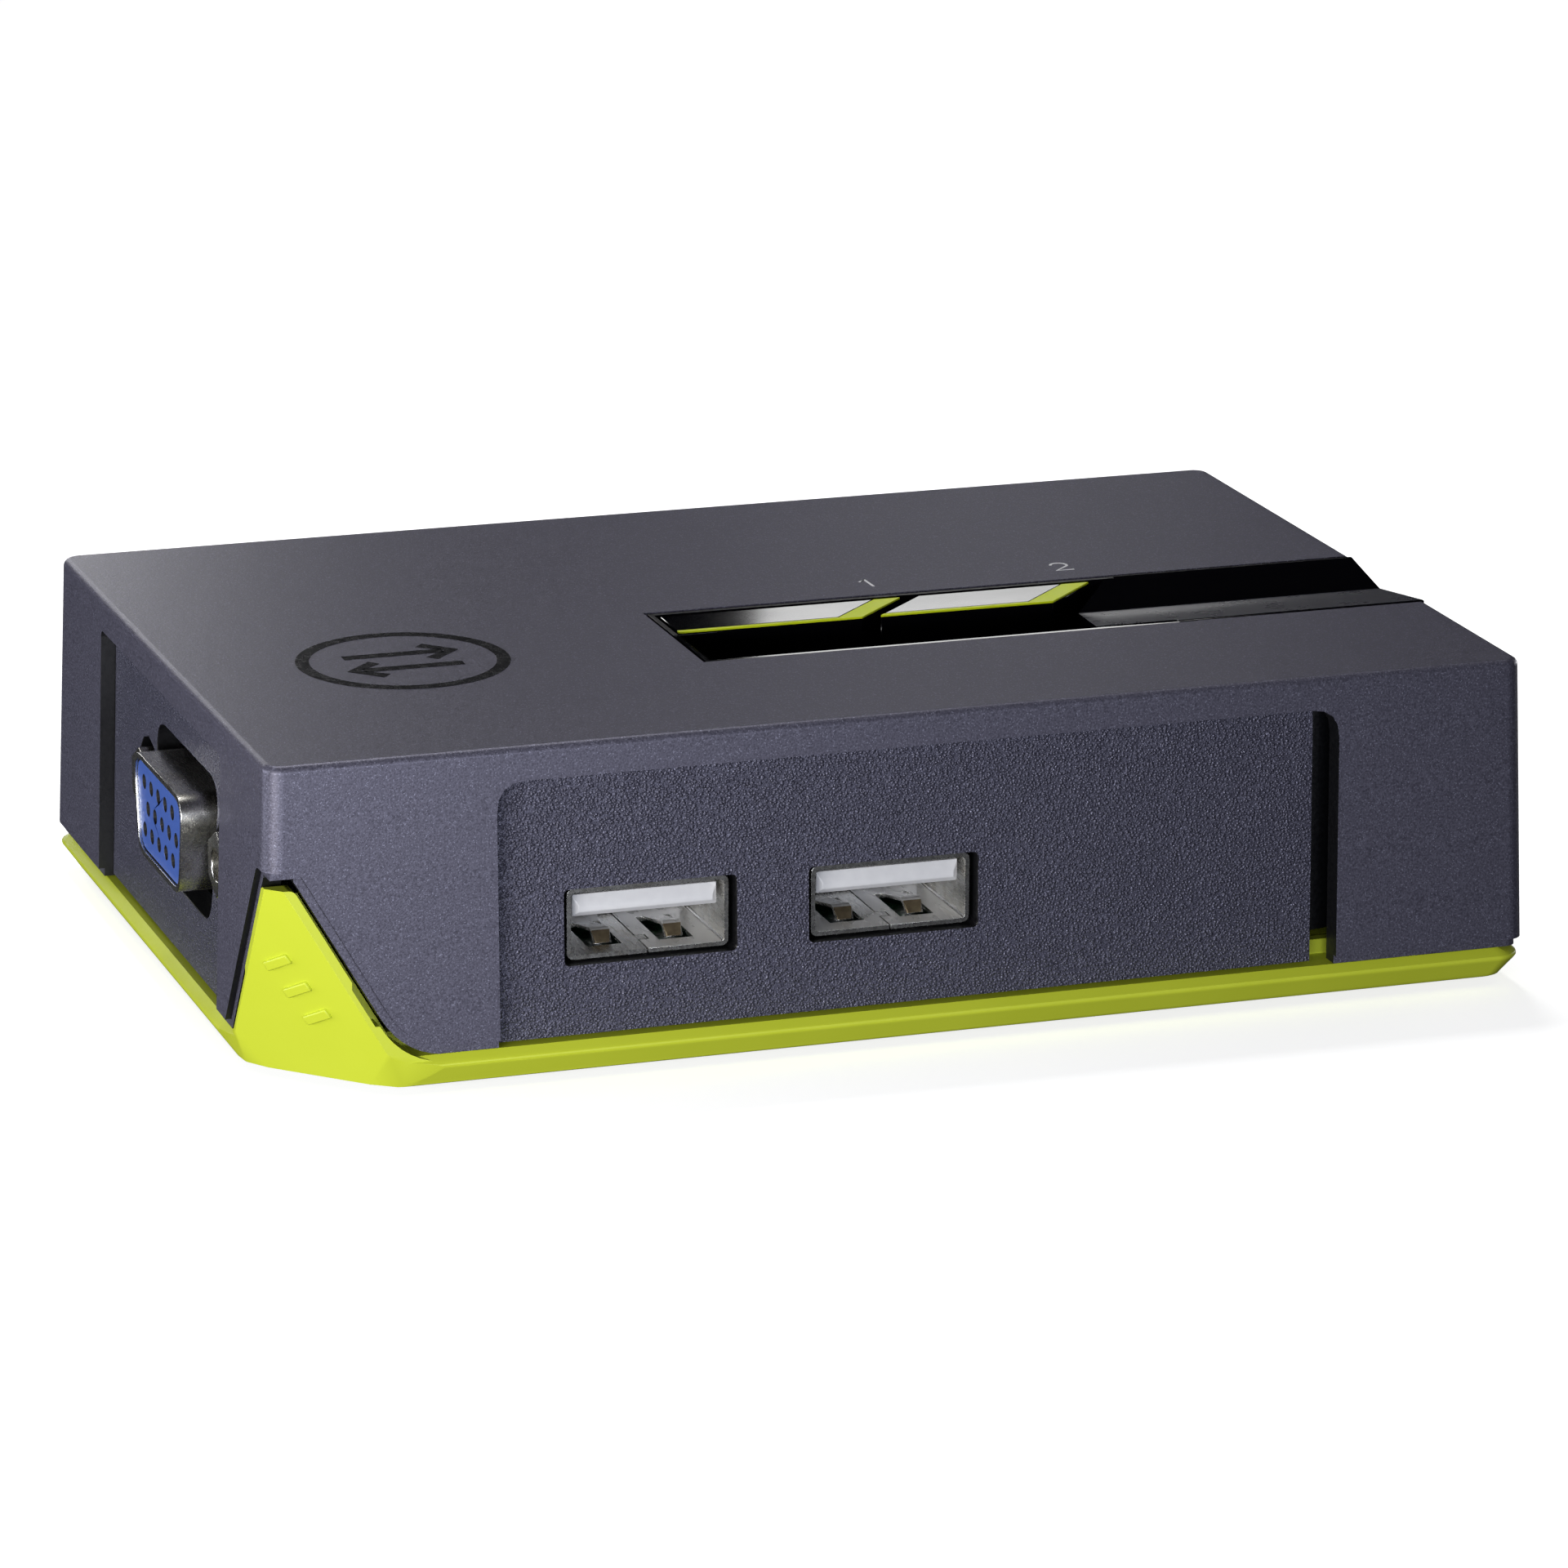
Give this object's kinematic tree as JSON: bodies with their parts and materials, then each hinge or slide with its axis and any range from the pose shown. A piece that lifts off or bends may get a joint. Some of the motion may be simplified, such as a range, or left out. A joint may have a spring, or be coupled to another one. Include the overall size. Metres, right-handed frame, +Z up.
{
  "type": "kvm switch",
  "caption": "Flat desktop KVM switch: drafted dark cover on a lime base, USB and video sockets in recessed panels, push buttons in a gloss well on top.",
  "frame": {"origin": "under the middle of the whole object's box, on the plane of the feet's undersides", "axes": "+X right along the front, +Y towards the back, +Z up"},
  "size_m": [0.1054, 0.0698, 0.0273],
  "materials": {
    "cover_paint": "satin metallic blue-grey paint",
    "panel_plastic": "coarse spark-eroded grain",
    "lime_plastic": "satin",
    "gloss_black": "high gloss",
    "nickel": "nickel plated",
    "white_plastic": "satin",
    "blue_plastic": "satin",
    "board_green": "solder mask",
    "black_epoxy": "moulded",
    "steel": "zinc plated",
    "rubber": "matte",
    "lamp_plastic": "clear",
    "foil_sleeve": "printed sleeve"
  },
  "bodies": {
    "housing": {"top_cover": "cover_paint", "base_tray": "lime_plastic", "front_panel": "panel_plastic", "left_panel": "panel_plastic", "back_panel": "panel_plastic", "button_bezel": "gloss_black", "circuit_board": "board_green", "video_switch_chip": "black_epoxy", "controller_chip": "black_epoxy", "voltage_regulator": "black_epoxy", "crystal_can": "steel", "capacitor_1": "foil_sleeve", "capacitor_2": "foil_sleeve", "capacitor_3": "foil_sleeve", "usb_socket_1_shell": "nickel", "usb_socket_1_tongue": "white_plastic", "usb_socket_2_shell": "nickel", "usb_socket_2_tongue": "white_plastic", "console_video_shell": "nickel", "console_video_insulator": "blue_plastic", "console_video_jackscrew_left": "nickel", "console_video_jackscrew_right": "nickel", "computer_1_video_shell": "nickel", "computer_1_video_insulator": "blue_plastic", "computer_1_video_jackscrew_left": "nickel", "computer_1_video_jackscrew_right": "nickel", "computer_2_video_shell": "nickel", "computer_2_video_insulator": "blue_plastic", "computer_2_video_jackscrew_left": "nickel", "computer_2_video_jackscrew_right": "nickel", "lamp_1": "lamp_plastic", "lamp_2": "lamp_plastic", "switch_1_body": "black_epoxy", "switch_2_body": "black_epoxy", "case_screw_front_left": "steel", "case_screw_front_right": "steel", "case_screw_back_left": "steel", "case_screw_back_right": "steel", "board_screw_left": "steel", "board_screw_right": "steel", "foot_front_left": "rubber", "foot_front_right": "rubber", "foot_back_left": "rubber", "foot_back_right": "rubber"},
    "button_1": {"button_1_cap": "gloss_black", "button_1_trim": "lime_plastic", "switch_1_plunger": "white_plastic"},
    "button_2": {"button_2_cap": "gloss_black", "button_2_trim": "lime_plastic", "switch_2_plunger": "white_plastic"}
  },
  "joints": [
    {"name": "button_1_press", "type": "slide", "parent": "housing", "child": "button_1", "axis": [0, 0, -1], "range_m": [0, 0.0005], "stiffness_N_per_m": 2000, "springref_m": -0.0002},
    {"name": "button_2_press", "type": "slide", "parent": "housing", "child": "button_2", "axis": [0, 0, -1], "range_m": [0, 0.0005], "stiffness_N_per_m": 2000, "springref_m": -0.0002}
  ]
}
